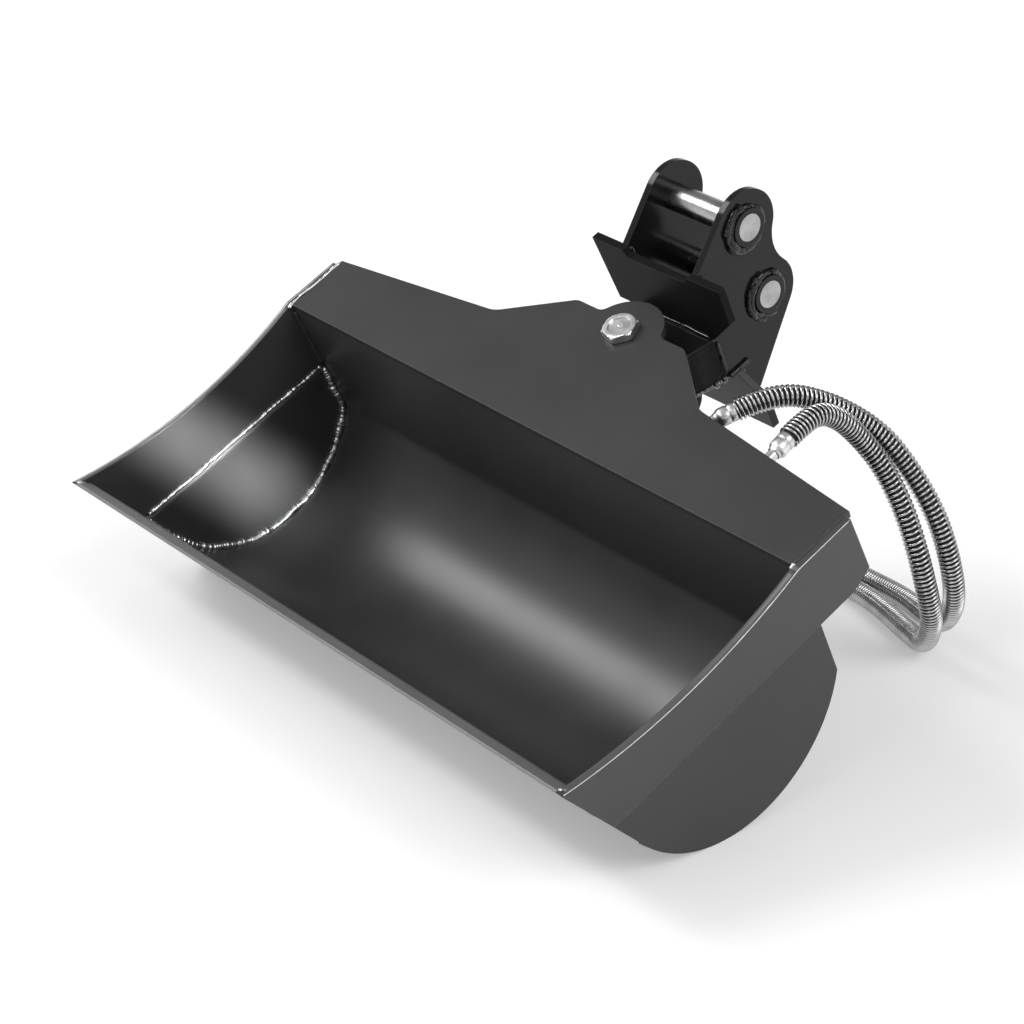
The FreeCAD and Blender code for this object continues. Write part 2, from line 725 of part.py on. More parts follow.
def base_lugs():
    """Two lugs on the back of the sheet that carry the cylinder's base pin."""
    lugs = []
    half = rod_eye_plate / 2 + base_lug_gap
    for low in (cylinder_z - half - base_lug_plate, cylinder_z + half):
        shape = slab([(base_pin_x - 2 * base_eye_radius, shell_plate, 0),
                      (base_pin_x + 2 * base_eye_radius, shell_plate, 0),
                      (base_pin_x + base_eye_radius, cylinder_along + base_eye_radius,
                       base_eye_radius * 0.9),
                      (base_pin_x - base_eye_radius, cylinder_along + base_eye_radius,
                       base_eye_radius * 0.9)], low, low + base_lug_plate)
        lugs.append(shape.cut(rod_along(V(0, 0, 1), V(base_pin_x, cylinder_along, low),
                                        lever_pin_dia / 2, base_lug_plate)))
    return Part.makeCompound(lugs)


def base_pin():
    """The base pin, headed at the lid side."""
    half = rod_eye_plate / 2 + base_lug_gap + base_lug_plate
    base = V(base_pin_x, cylinder_along, cylinder_z - half)
    shank = rod_along(V(0, 0, 1), base, lever_pin_dia / 2, 2 * half)
    head = rod_along(V(0, 0, 1), base + V(0, 0, 2 * half), lever_tip - 4, rear_plate / 2)
    return shank.fuse(head).removeSplitter()


def bent(points, diameter, name):
    """A round bar through the points: straight runs joined by arcs that touch them."""
    edges = []
    radii = []
    last = points[0]
    for before, here, after in zip(points, points[1:], points[2:]):
        back = before - here
        ahead = after - here
        reach = 0.45 * min(back.Length, ahead.Length)
        back.normalize()
        ahead.normalize()
        half = back.getAngle(ahead) / 2
        radius = reach * math.tan(half)
        middle = (back + ahead).normalize()
        top = here + middle * (radius / math.sin(half) - radius)
        start = here + back * reach
        end = here + ahead * reach
        edges.append(Part.LineSegment(last, start).toShape())
        edges.append(Part.Arc(start, top, end).toShape())
        radii.append(round(radius))
        last = end
    edges.append(Part.LineSegment(last, points[-1]).toShape())
    length = sum(edge.Length for edge in edges)
    turn = FreeCAD.Rotation(V(0, 0, 1), points[1] - points[0])
    ring = Part.makeCircle(diameter / 2, points[0], turn.multVec(V(0, 0, 1)))
    bar = Part.Wire(edges).makePipeShell([Part.Wire(ring)], True, False)
    ideal = math.pi * diameter ** 2 / 4 * length
    print(name, "length", round(length), "radii", radii, "volume share", round(bar.Volume / ideal, 4))
    return bar


def standing(x, y, z):
    """A point of the lid frame, as the bucket stands on the floor."""
    turn = FreeCAD.Rotation(V(1, 0, 0), lid_slope)
    return turn.multVec(V(x, y, z)) + stand


def hose_nodes(side, port_x, heading, pipe_run, lead, route):
    """A hose with its bent pipe from the port, two ferrules and a swivel nut at the free end."""
    turn = math.radians(heading)

    def ahead(distance):
        return standing(port_x + distance * math.cos(turn), cylinder_along + distance * math.sin(turn),
                        -lid_plate - pipe_under_lid)

    start = pipe_run + ferrule_length
    points = [ahead(start), ahead(start + lead)] + [V(*point) for point in route]
    first = (points[1] - points[0]).normalize()
    last = (points[-1] - points[-2]).normalize()
    pipe_end = points[0] - first * ferrule_length
    port_face = cylinder_z + barrel_dia / 2 + port_height
    pipe = bent([standing(port_x, cylinder_along, port_face), ahead(0), pipe_end], pipe_dia,
                "hose_pipe_" + side)
    ferrules = [rod_along(first, pipe_end, ferrule_dia / 2, ferrule_length),
                rod_along(last, points[-1], ferrule_dia / 2, ferrule_length)]
    nut_start = points[-1] + last * ferrule_length
    nut = hexagon(last, nut_start, connector_flats, connector_length)
    nut = nut.cut(rod_along(last, nut_start + last * (connector_length / 4), connector_bore / 2,
                            connector_length))
    return {
        "hose_" + side: bent(points, guard_dia, "hose_" + side),
        "hose_pipe_" + side: pipe,
        "hose_ferrules_" + side: Part.makeCompound(ferrules),
        "hose_nut_" + side: nut,
    }


bucket_nodes = {
    "shell": shell(),
    "cutting_edge": cutting_edge(),
    "end_plate_right": end_plate(),
    "end_plate_left": mirrored(end_plate()),
    "side_strip_right": side_strip(),
    "side_strip_left": mirrored(side_strip()),
    "lid_pivot_plate": lid(),
    "rear_pivot_plate": rear_pivot_plate(),
    "tilt_pin": tilt_pin(),
    "tilt_pin_nut": tilt_nut(),
    "base_lugs": base_lugs(),
    "base_pin": base_pin(),
    "barrel": barrel(),
    "gland": gland(),
    "rod_wiper": rod_wiper(),
}

left_bosses = pin_bosses(lock_boss_height, lock_boss_wall, -1)
bolts = lock_bolts()
left_bosses = [boss.cut(bolt) for boss, bolt in zip(left_bosses, bolts)]
hanger_nodes = {
    "pivot_tube": pivot_tube(),
    "tilt_bushes": tilt_bushes(),
    "tongue_top": tongue_plate_at(-tongue_top_drop - tongue_plate),
    "tongue_bottom": tongue_plate_at(tongue_bottom),
    "tongue_sides": tongue_sides(),
    "upper_wing": upper_wing(),
    "lower_wing": lower_wing(),
    "ear_right": ear(),
    "ear_left": mirrored(ear()),
    "pin_bosses_right": Part.makeCompound(pin_bosses(boss_height, boss_wall, 1)),
    "pin_bosses_left": Part.makeCompound(left_bosses),
    "upper_pin": hanger_pin(upper_pin_along, upper_pin_rise),
    "lower_pin": hanger_pin(lower_pin_along, lower_pin_rise),
    "pin_lock_bolts": Part.makeCompound(bolts),
    "lever_pin": lever_pin(),
}
rod_nodes = {
    "rod_eye": rod_eye(),
    "rod": rod(),
    "piston": piston(),
    "piston_seals": piston_seals(),
}

nodes = {}
nodes.update(bucket_nodes)
nodes.update(hanger_nodes)
nodes.update(rod_nodes)
for shape in nodes.values():
    shape.rotate(V(0, 0, 0), V(1, 0, 0), lid_slope)

box = Part.makeCompound(list(nodes.values())).BoundBox
stand = V(0, -(box.YMin + box.YMax) / 2, -box.ZMin)
for shape in nodes.values():
    shape.translate(stand)
nodes.update(hose_nodes("rear", port_rod_x, rear_heading, rear_pipe_run, rear_lead, rear_route))
nodes.update(hose_nodes("front", port_base_x, front_heading, front_pipe_run, front_lead, front_route))

os.makedirs("parts", exist_ok=True)
for name, shape in nodes.items():
    shape.exportStep("parts/" + name + ".step")
print("box", box, "stand", stand)
for name, shape in nodes.items():
    print(name, shape.isValid(), round(shape.Volume, 1), len(shape.Solids))
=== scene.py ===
import math

import bmesh
import bpy
import numpy as np
from mathutils import Matrix, Vector


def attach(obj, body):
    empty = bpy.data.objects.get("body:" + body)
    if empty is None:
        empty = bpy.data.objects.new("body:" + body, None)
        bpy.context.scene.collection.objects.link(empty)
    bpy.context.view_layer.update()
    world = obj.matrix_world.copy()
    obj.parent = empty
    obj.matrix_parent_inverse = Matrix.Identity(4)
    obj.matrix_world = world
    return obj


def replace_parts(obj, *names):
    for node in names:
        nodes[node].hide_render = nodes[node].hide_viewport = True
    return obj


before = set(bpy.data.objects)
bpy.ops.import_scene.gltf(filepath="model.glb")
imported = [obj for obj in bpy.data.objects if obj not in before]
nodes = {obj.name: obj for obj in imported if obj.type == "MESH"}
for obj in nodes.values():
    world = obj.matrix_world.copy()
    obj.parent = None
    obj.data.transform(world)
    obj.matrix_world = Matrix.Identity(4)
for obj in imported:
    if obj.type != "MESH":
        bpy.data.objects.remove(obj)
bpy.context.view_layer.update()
scene = bpy.context.scene

# The lid frame in which the bucket is drawn, in millimetres: x across, up along the lid, out of the lid.
# STAND is the place of its origin as the bucket lies on the floor.
LID_SLOPE = math.radians(24.0)
STAND = np.array([0.0, -19.3613, 274.6763])
ACROSS = np.array([1.0, 0.0, 0.0])
UP_LID = np.array([0.0, math.cos(LID_SLOPE), math.sin(LID_SLOPE)])
OUT_OF_LID = np.array([0.0, -math.sin(LID_SLOPE), math.cos(LID_SLOPE)])


def lid(x, up, out):
    """A point of the lid frame in metres: stand + x across + up along the lid + out of the lid."""
    return (STAND + x * ACROSS + up * UP_LID + out * OUT_OF_LID) * 0.001


# Camera: the place, aim and lens that were fitted to the photo

camera = bpy.data.objects.new("camera", bpy.data.cameras.new("camera"))
scene.collection.objects.link(camera)
camera.location = (2.04165, -1.76539, 1.60154)
camera.rotation_euler = (math.radians(61.98), 0.0, math.radians(49.64))
camera.data.lens = 103.13
camera.data.sensor_width = 36.0
scene.camera = camera
scene.view_settings.view_transform = "Standard"


# Meshes from numpy grids

def grid_faces(rows, around):
    """The quads between rings of points, each ring closed: they join a point to the next along and around."""
    i, j = np.meshgrid(np.arange(rows - 1), np.arange(around), indexing="ij")
    after = (j + 1) % around
    corners = [i * around + j, i * around + after, (i + 1) * around + after, (i + 1) * around + j]
    return np.stack(corners, -1).reshape(-1, 4)


def make_piece(name, points, faces, material, body, slot, smooth=True):
    """A mesh object at the origin, with its doubles merged and its faces turned outwards."""
    mesh = bpy.data.meshes.new(name)
    mesh.from_pydata([tuple(p) for p in points.tolist()], [], faces.tolist())
    piece = bpy.data.objects.new(name, mesh)
    scene.collection.objects.link(piece)
    work = bmesh.new()
    work.from_mesh(mesh)
    bmesh.ops.remove_doubles(work, verts=work.verts, dist=2e-6)
    bmesh.ops.recalc_face_normals(work, faces=work.faces)
    work.to_mesh(mesh)
    work.free()
    mesh.polygons.foreach_set("use_smooth", np.full(len(mesh.polygons), smooth))
    mesh.materials.append(material)
    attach(piece, body)
    return piece


def join_grids(grids):
    """Several (points, faces) pairs as one pair."""
    points = []
    faces = []
    base = 0
    for p, f in grids:
        points.append(p)
        faces.append(f + base)
        base += len(p)
    return np.concatenate(points), np.concatenate(faces)


def frames_along(path):
    """Tangent and two normals at each point of a path, the normals carried along without twist."""
    tangent = np.gradient(path, axis=0)
    tangent /= np.linalg.norm(tangent, axis=1)[:, None]
    start = np.eye(3)[np.argmin(np.abs(tangent[0]))]
    normal = np.empty_like(path)
    now = start - tangent[0] * start.dot(tangent[0])
    for k in range(len(path)):
        now = now - tangent[k] * now.dot(tangent[k])
        now = now / np.linalg.norm(now)
        normal[k] = now
    return tangent, normal, np.cross(tangent, normal)


def tube_grid(path, radius, around):
    """A tube: point = path(s) + radius(s) * (cos a * normal + sin a * binormal), its ends drawn to a point."""
    tangent, normal, side = frames_along(path)
    radius = np.broadcast_to(np.asarray(radius, float), len(path)).copy()
    path = np.vstack([path[:1], path, path[-1:]])
    radius = np.concatenate([[0.0], radius, [0.0]])
    normal = np.vstack([normal[:1], normal, normal[-1:]])
    side = np.vstack([side[:1], side, side[-1:]])
    angle = np.linspace(0, 2 * np.pi, around, endpoint=False)
    ring = (np.cos(angle)[None, :, None] * normal[:, None, :]
            + np.sin(angle)[None, :, None] * side[:, None, :])
    points = path[:, None, :] + radius[:, None, None] * ring
    return points.reshape(-1, 3), grid_faces(len(path), around)


def turned_grid(start, direction, profile, around, flats=0.0, turn=0.0):
    """A turned form from (radius r, height) pairs: point = start + height * direction + r * (cos a, sin a).

    With flats, the width across flats in metres, r is cut back to a hexagon.
    """
    direction = np.asarray(direction, float)
    direction = direction / np.linalg.norm(direction)
    helper = np.eye(3)[np.argmin(np.abs(direction))]
    first = np.cross(direction, helper)
    first /= np.linalg.norm(first)
    second = np.cross(direction, first)
    angle = np.linspace(0, 2 * np.pi, around, endpoint=False)
    profile = np.asarray(profile, float)
    r = np.repeat(profile[:, 0][:, None], around, 1)
    if flats:
        limit = 0.5 * flats / np.cos((angle + math.pi / 6) % (math.pi / 3) - math.pi / 6)
        r = np.minimum(r, limit[None, :])
    a = angle + turn
    points = (np.asarray(start)[None, None, :] + profile[:, 1][:, None, None] * direction
              + r[:, :, None] * (np.cos(a)[None, :, None] * first + np.sin(a)[None, :, None] * second))
    return points.reshape(-1, 3), grid_faces(len(profile), around)


def resample(path, step):
    """A path of straight stretches, divided into equal steps along its length."""
    path = np.asarray(path, float)
    reach = np.concatenate([[0], np.cumsum(np.linalg.norm(np.diff(path, axis=0), axis=1))])
    count = max(4, int(reach[-1] / step))
    s = np.linspace(0, reach[-1], count)
    return np.stack([np.interp(s, reach, path[:, k]) for k in range(3)], -1)


def arc(centre, first, second, radius, start, end, count):
    """Points of an arc: centre + radius * (cos a * first + sin a * second), a in degrees."""
    angle = np.radians(np.linspace(start, end, count))
    return (np.asarray(centre)[None] + radius * (np.cos(angle)[:, None] * np.asarray(first)[None]
                                                 + np.sin(angle)[:, None] * np.asarray(second)[None]))


# Materials

def new_material(name):
    """An empty material with its tree and its Principled shader."""
    material = bpy.data.materials.new(name)
    material.use_nodes = True
    tree = material.node_tree
    return material, tree, tree.nodes["Principled BSDF"]


def node(tree, kind, **values):
    """A node with its named settings and inputs."""
    made = tree.nodes.new(kind)
    for key, value in values.items():
        if key in made.inputs:
            made.inputs[key].default_value = value
        else:
            setattr(made, key, value)
    return made


def noise(tree, scale, detail=4.0):
    """Noise on Object coordinates, scale in features per metre."""
    place = node(tree, "ShaderNodeTexCoord")
    made = node(tree, "ShaderNodeTexNoise", Scale=scale, Detail=detail, Roughness=0.55)
    tree.links.new(place.outputs["Object"], made.inputs["Vector"])
    return made


def ramp(tree, source, low, high, dark, bright):
    """A ramp from one colour to another between two values of the source."""
    made = tree.nodes.new("ShaderNodeValToRGB")
    made.color_ramp.elements[0].position = low
    made.color_ramp.elements[1].position = high
    made.color_ramp.elements[0].color = dark
    made.color_ramp.elements[1].color = bright
    tree.links.new(source, made.inputs["Fac"])
    return made.outputs["Color"]


def gloss_from(tree, source, low, high):
    """The shader's roughness, spread between two values by the source."""
    gloss = node(tree, "ShaderNodeMapRange")
    gloss.inputs["To Min"].default_value = low
    gloss.inputs["To Max"].default_value = high
    tree.links.new(source, gloss.inputs["Value"])
    tree.links.new(gloss.outputs["Result"], tree.nodes["Principled BSDF"].inputs["Roughness"])


def grey(value):
    """A grey that is a touch cool."""
    return (value, value * 1.005, value * 1.015, 1.0)


# Heights along OUT_OF_LID from the frame's origin, in metres: below the first the shading rounds the fold
# between flange and roll, and above the second it leaves the sheet's free edges sharp
FOLD_TOP = 0.165
FOLD_END = 0.185


def paint(name, colour, roughness, worn_and_highlit_edge_tone, edge_width,
          peel=0.00006, shine=0.5, fold=0.0, coat=0.0):
    """Sprayed paint: fine orange peel, cloudy gloss, edges lighter where the bevel bends the normal: wear and
    painted highlight.

    shine is the specular level, and fold the radius in metres by which the shading rounds the fold between
    flange and roll.
    """
    material, tree, shader = new_material(name)
    cloud = noise(tree, 9.0, 5.0)
    dust = noise(tree, 160.0, 3.0)
    mottled = ramp(tree, cloud.outputs["Fac"], 0.30, 0.72, grey(colour * 0.86), grey(colour * 1.14))
    bevel = node(tree, "ShaderNodeBevel", samples=6, Radius=edge_width)
    geometry = node(tree, "ShaderNodeNewGeometry")
    turned = node(tree, "ShaderNodeVectorMath", operation="DOT_PRODUCT")
    tree.links.new(bevel.outputs["Normal"], turned.inputs[0])
    tree.links.new(geometry.outputs["Normal"], turned.inputs[1])
    # the edge mask: edges take the lighter edge tone, partly as wear and partly as a painted highlight along
    # the rounded edge, broken up by the chips
    worn_and_highlit_edge_mask = ramp(tree, turned.outputs["Value"], 0.80, 0.985, (1, 1, 1, 1), (0, 0, 0, 1))
    chips = ramp(tree, dust.outputs["Fac"], 0.30, 0.62, (0.15, 0.15, 0.15, 1), (1, 1, 1, 1))
    share = node(tree, "ShaderNodeMath", operation="MULTIPLY")
    tree.links.new(worn_and_highlit_edge_mask, share.inputs[0])
    tree.links.new(chips, share.inputs[1])
    blend = node(tree, "ShaderNodeMix", data_type="RGBA")
    tree.links.new(share.outputs["Value"], blend.inputs["Factor"])
    tree.links.new(mottled, blend.inputs[6])
    blend.inputs[7].default_value = grey(worn_and_highlit_edge_tone)
    tree.links.new(blend.outputs[2], shader.inputs["Base Color"])
    gloss_from(tree, cloud.outputs["Fac"], roughness * 0.85, roughness * 1.18)
    peel_noise = noise(tree, 420.0, 2.0)
    bump = node(tree, "ShaderNodeBump", Strength=0.35, Distance=peel)
    tree.links.new(peel_noise.outputs["Fac"], bump.inputs["Height"])
    soft = bevel
    if fold:
        # the fold is rounded in the shading only, and the sheet's free edges stay as they are
        soft = node(tree, "ShaderNodeBevel", samples=8)
        where = node(tree, "ShaderNodeTexCoord")
        level = node(tree, "ShaderNodeVectorMath", operation="DOT_PRODUCT")
        level.inputs[1].default_value = OUT_OF_LID.tolist()
        tree.links.new(where.outputs["Object"], level.inputs[0])
        reach = node(tree, "ShaderNodeMapRange")
        limits = (("From Min", FOLD_TOP), ("From Max", FOLD_END), ("To Min", fold), ("To Max", 0.0))
        for key, value in limits:
            reach.inputs[key].default_value = value
        tree.links.new(level.outputs["Value"], reach.inputs["Value"])
        tree.links.new(reach.outputs["Result"], soft.inputs["Radius"])
    tree.links.new(soft.outputs["Normal"], bump.inputs["Normal"])
    tree.links.new(bump.outputs["Normal"], shader.inputs["Normal"])
    shader.inputs["Specular IOR Level"].default_value = shine
    shader.inputs["Coat Weight"].default_value = coat
    shader.inputs["Coat Roughness"].default_value = 0.06
    shader.inputs["Coat IOR"].default_value = 1.8
    return material


def bare_metal(name, colour, roughness, grain=900.0, depth=0.00003, spread=0.2):
    """Bare metal: a light mottle in colour and gloss, and fine grain in the bump."""
    material, tree, shader = new_material(name)
    mottle = noise(tree, 60.0, 5.0)
    fine = noise(tree, grain, 2.0)
    bright = min(1.0, colour * (1 + spread))
    tone = ramp(tree, mottle.outputs["Fac"], 0.3, 0.7, grey(colour * (1 - spread)), grey(bright))
    tree.links.new(tone, shader.inputs["Base Color"])
    shader.inputs["Metallic"].default_value = 1.0
    gloss_from(tree, mottle.outputs["Fac"], roughness * 0.7, roughness * 1.3)
    bump = node(tree, "ShaderNodeBump", Strength=0.5, Distance=depth)
    tree.links.new(fine.outputs["Fac"], bump.inputs["Height"])
    tree.links.new(bump.outputs["Normal"], shader.inputs["Normal"])
    return material


def plain(name, scale, dark, bright, roughness, metallic):
    """A material of one roughness, mottled between two colours."""
    material, tree, shader = new_material(name)
    mottle = noise(tree, scale)
    tree.links.new(ramp(tree, mottle.outputs["Fac"], 0.3, 0.7, dark, bright), shader.inputs["Base Color"])
    shader.inputs["Metallic"].default_value = metallic
    shader.inputs["Roughness"].default_value = roughness
    return material


bucket_paint = paint("bucket_paint", 0.034, 0.42, 0.12, 0.0012)
shell_paint = paint("shell_paint", 0.036, 0.38, 0.12, 0.0012, shine=0.65, fold=0.016)
# a lighter copy of the bucket's paint, with lighter edges, for the right side strip only: painted light on
# that strip
strip_painted_light = paint("strip_painted_light", 0.045, 0.40, 0.28, 0.0012)
# the cutting edge's paint is several times lighter than the bucket's: partly wear, partly a painted highlight
# along the lip
edge_paint = paint("edge_paint", 0.15, 0.38, 0.40, 0.0015)
# the lighter paint of the strips' front faces: partly wear, partly a painted highlight of the lit edge
strip_front_worn_and_highlit = paint("strip_front_worn_and_highlit", 0.085, 0.36, 0.20, 0.0010)
# the lid plate's paint is a darker copy of the bucket's paint: painted shade on the lid, which faces the lamps
lid_painted_shade = paint("lid_painted_shade", 0.026, 0.42, 0.12, 0.0012)
hanger_paint = paint("hanger_paint", 0.009, 0.13, 0.06, 0.0010, shine=0.26)
wing_paint = paint("wing_paint", 0.011, 0.35, 0.08, 0.0010, shine=0.04)
weld_paint = paint("weld_paint", 0.036, 0.30, 0.10, 0.0008, peel=0.0002)
hanger_weld = paint("hanger_weld", 0.008, 0.09, 0.008, 0.0002, peel=0.0001, shine=0.30, coat=0.15)
# a lighter, glossier copy of the hanger's weld paint: its lighter colour is a painted highlight for the glints
# on the tongue's welds
tongue_painted_glint = paint("tongue_painted_glint", 0.030, 0.10, 0.030, 0.0002, peel=0.0003, shine=1.0, coat=0.8)
# bright bare metal of the strips' rims: partly wear, partly a painted highlight line along the edge
rim_metal_worn_and_highlit = bare_metal("rim_metal_worn_and_highlit", 0.62, 0.34)
pin_steel = bare_metal("pin_steel", 0.40, 0.26, grain=1400.0)
zinc = bare_metal("zinc", 0.78, 0.34, grain=700.0)
bare_weld = bare_metal("bare_weld", 0.72, 0.30, grain=420.0, depth=0.0004, spread=0.30)
guard_wire = bare_metal("guard_wire", 0.56, 0.20, spread=0.15)
chrome = bare_metal("chrome", 0.72, 0.07, grain=2000.0, depth=0.000005, spread=0.02)
bronze = plain("bronze", 120.0, (0.40, 0.24, 0.10, 1), (0.55, 0.36, 0.17, 1), 0.32, 1.0)
rubber = plain("rubber", 300.0, grey(0.012), grey(0.022), 0.62, 0.0)

# Every node that isn't named here or a hose fitting has the hanger's paint
node_materials = {
    "shell": shell_paint, "cutting_edge": edge_paint, "end_plate_right": bucket_paint,
    "end_plate_left": shell_paint, "side_strip_right": strip_painted_light, "side_strip_left": shell_paint,
    "lid_pivot_plate": lid_painted_shade, "rear_pivot_plate": bucket_paint, "tilt_pin": zinc,
    "tilt_pin_nut": zinc, "base_lugs": bucket_paint, "base_pin": pin_steel, "rod_wiper": rubber,
    "tilt_bushes": bronze, "upper_pin": pin_steel, "lower_pin": pin_steel, "pin_lock_bolts": zinc,
    "lever_pin": pin_steel, "upper_wing": wing_paint, "rod": chrome, "piston": pin_steel,
    "piston_seals": rubber,
}
for name, cad_piece in nodes.items():
    if cad_piece.type != "MESH":
        continue
    finish = zinc if name.startswith("hose_") else node_materials.get(name, hanger_paint)
    for place in cad_piece.material_slots:
        place.material = finish
    if not cad_piece.material_slots:
        cad_piece.data.materials.append(finish)


# Hoses, in metres: radii of the rubber, the guard and its wire, height of a centre line on the floor,
# length of a ferrule, and the pitch at which the guard's turns touch

HOSE = 0.0085
GUARD = 0.0120
WIRE = 0.0015
ON_FLOOR = 0.0123
FERRULE = 0.024
TOUCHING = 0.0032
# The barrel's ports in the lid frame
PORTS_UP = 88.048
PORTS_OUT = -22.0


def lead_out(port_x, heading, pipe_run, lead):
    """The two points of a hose's straight start, under the lid plate, out from its port."""
    turn = math.radians(heading)
    start = pipe_run + 1000 * FERRULE
    return [tuple(lid(port_x + d * math.cos(turn), PORTS_UP + d * math.sin(turn), PORTS_OUT))
            for d in (start, start + lead)]


rear_route = lead_out(150.5, 64.9, 31.5, 44.8) + [
    (0.218, 0.205, 0.309), (0.248, 0.248, 0.275), (0.274, 0.269, 0.235), (0.300, 0.283, 0.191),
    (0.315, 0.292, 0.145), (0.317, 0.305, 0.097), (0.305, 0.318, 0.061), (0.272, 0.341, 0.023),
    (0.235, 0.356, ON_FLOOR), (0.195, 0.367, ON_FLOOR), (0.152, 0.367, ON_FLOOR),
    (0.100, 0.366, ON_FLOOR), (0.050, 0.352, ON_FLOOR), (0.000, 0.345, ON_FLOOR),
    (-0.050, 0.347, ON_FLOOR), (-0.100, 0.356, ON_FLOOR)]
front_route = lead_out(254.0, 94.5, 23.7, 14.6) + [
    (0.247, 0.158, 0.323), (0.250, 0.187, 0.308), (0.254, 0.213, 0.281), (0.269, 0.234, 0.247),
    (0.289, 0.248, 0.201), (0.305, 0.257, 0.151), (0.313, 0.270, 0.095), (0.308, 0.284, 0.060),
    (0.284, 0.303, 0.016), (0.248, 0.315, ON_FLOOR), (0.205, 0.329, ON_FLOOR),
    (0.161, 0.339, ON_FLOOR), (0.110, 0.336, ON_FLOOR), (0.060, 0.324, ON_FLOOR),
    (0.010, 0.311, ON_FLOOR), (-0.040, 0.314, ON_FLOOR), (-0.090, 0.322, ON_FLOOR)]


def hose_curve(name, route):
    """One open NURBS spline with the route's points as its control points."""
    curve = bpy.data.curves.new(name, "CURVE")
    curve.dimensions = "3D"
    spline = curve.splines.new("NURBS")
    spline.points.add(len(route) - 1)
    for point, place in zip(spline.points, route):
        point.co = (*place, 1.0)
    spline.order_u = 3
    spline.use_endpoint_u = True
    spline.resolution_u = 12
    curve.use_fill_caps = True
    piece = bpy.data.objects.new(name, curve)
    scene.collection.objects.link(piece)
    return piece


def spline_points(piece):
    """The points of the smooth line itself, as Blender gives them for the curve with no bevel."""
    bpy.context.view_layer.update()
    mesh = bpy.data.meshes.new_from_object(piece)
    points = np.empty(len(mesh.vertices) * 3)
    mesh.vertices.foreach_get("co", points)
    bpy.data.meshes.remove(mesh)
    return points.reshape(-1, 3)


def guard_coil(path, open_turns):
    """A wire wound on the hose: centre = path(s) + R * (cos t * normal + sin t * binormal).

    t grows by one turn per pitch. The turns stand open in the arch, by the given (length, pitch) pairs,
    and touch in the bend and on the floor. The wire's own ring has six corners.
    """
    fine = resample(path, 0.0006)
    length = np.linalg.norm(np.diff(fine, axis=0), axis=1).sum()
    s = np.linspace(0, length, len(fine))
    _, normal, side = frames_along(fine)
    pitch = np.interp(s, [k[0] for k in open_turns], [k[1] for k in open_turns])
    turns = np.concatenate([[0], np.cumsum(0.5 * (1 / pitch[1:] + 1 / pitch[:-1]) * np.diff(s))])
    per_turn = 16
    t = np.arange(0, turns[-1], 1.0 / per_turn)
    at = np.interp(t, turns, s)

    def read(values):
        return np.stack([np.interp(at, s, values[:, k]) for k in range(3)], -1)

    angle = 2 * np.pi * t
    out = np.cos(angle)[:, None] * read(normal) + np.sin(angle)[:, None] * read(side)
    centre = read(fine) + (GUARD - WIRE) * out
    way = np.gradient(centre, axis=0)
    way /= np.linalg.norm(way, axis=1)[:, None]
    cross = np.cross(way, out)
    corners = 6
    ring = np.linspace(0, 2 * np.pi, corners, endpoint=False)
    points = centre[:, None, :] + WIRE * (np.cos(ring)[None, :, None] * out[:, None, :]
                                          + np.sin(ring)[None, :, None] * cross[:, None, :])
    first = np.repeat(centre[:1, None, :], corners, 1)
    last = np.repeat(centre[-1:, None, :], corners, 1)
    points = np.concatenate([first, points, last])
    return points.reshape(-1, 3), grid_faces(len(points), corners)


def pressed_ferrule(start, direction):
    """A pressed ferrule: a neck that swells to the sleeve, and a collar next to the guard."""
    profile = [(0.0, 0.0), (0.0064, 0.0), (0.0070, 0.0005), (0.0072, 0.0022), (0.0083, 0.0040),
               (0.0095, 0.0058), (0.0099, 0.0072), (0.0100, 0.0090), (0.0100, 0.0146), (0.0097, 0.0154),
               (0.0092, 0.0158), (0.0092, 0.0166), (0.0098, 0.0170), (0.0100, 0.0178), (0.0100, 0.0226),
               (0.0097, 0.0236), (0.0088, FERRULE), (0.0, FERRULE)]
    return turned_grid(start, direction, profile, 48)


def swivel_nut(start, direction):
    """The connector: a hexagon of 20 mm with its corners turned back, open at its far end."""
    length = 0.022
    profile = [(0.0, 0.0), (0.0085, 0.0), (0.0100, 0.0006), (0.01155, 0.0024), (0.01155, length - 0.0022),
               (0.0099, length), (0.0070, length), (0.0068, length - 0.0008), (0.0068, 0.0060), (0.0, 0.0060)]
    return turned_grid(start, direction, profile, 72, flats=0.0200)


def dress_hose(side, route, open_turns):
    """The hose, its spring guard, its ferrules and its swivel nut."""
    route = [np.array(p) for p in route]
    hose = hose_curve("rubber_hose_" + side, route)
    line = spline_points(hose)
    hose.data.bevel_depth = HOSE
    hose.data.bevel_resolution = 5
    hose.data.materials.append(rubber)
    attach(hose, "bucket")
    points, faces = guard_coil(line, open_turns)
    guard = make_piece("hose_guard_" + side, points, faces, guard_wire, "bucket", "hose_guard")
    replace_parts(hose, "hose_" + side)
    first = route[1] - route[0]
    first /= np.linalg.norm(first)
    last = route[-1] - route[-2]
    last /= np.linalg.norm(last)
    points, faces = join_grids([pressed_ferrule(route[0] - first * FERRULE, first),
                                pressed_ferrule(route[-1] + last * FERRULE, -last)])
    ferrules = make_piece("pressed_ferrules_" + side, points, faces, zinc, "bucket", "zinc")
    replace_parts(ferrules, "hose_ferrules_" + side)
    points, faces = swivel_nut(route[-1] + last * FERRULE, last)
    nut = make_piece("swivel_nut_" + side, points, faces, zinc, "bucket", "zinc", smooth=False)
    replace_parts(nut, "hose_nut_" + side)


dress_hose("rear", rear_route,
           [(0.0, 0.0044), (0.08, 0.0052), (0.26, 0.0056), (0.36, 0.0046), (0.44, TOUCHING)])
dress_hose("front", front_route,
           [(0.0, 0.0044), (0.05, 0.0052), (0.24, 0.0058), (0.32, 0.0046), (0.40, TOUCHING)])


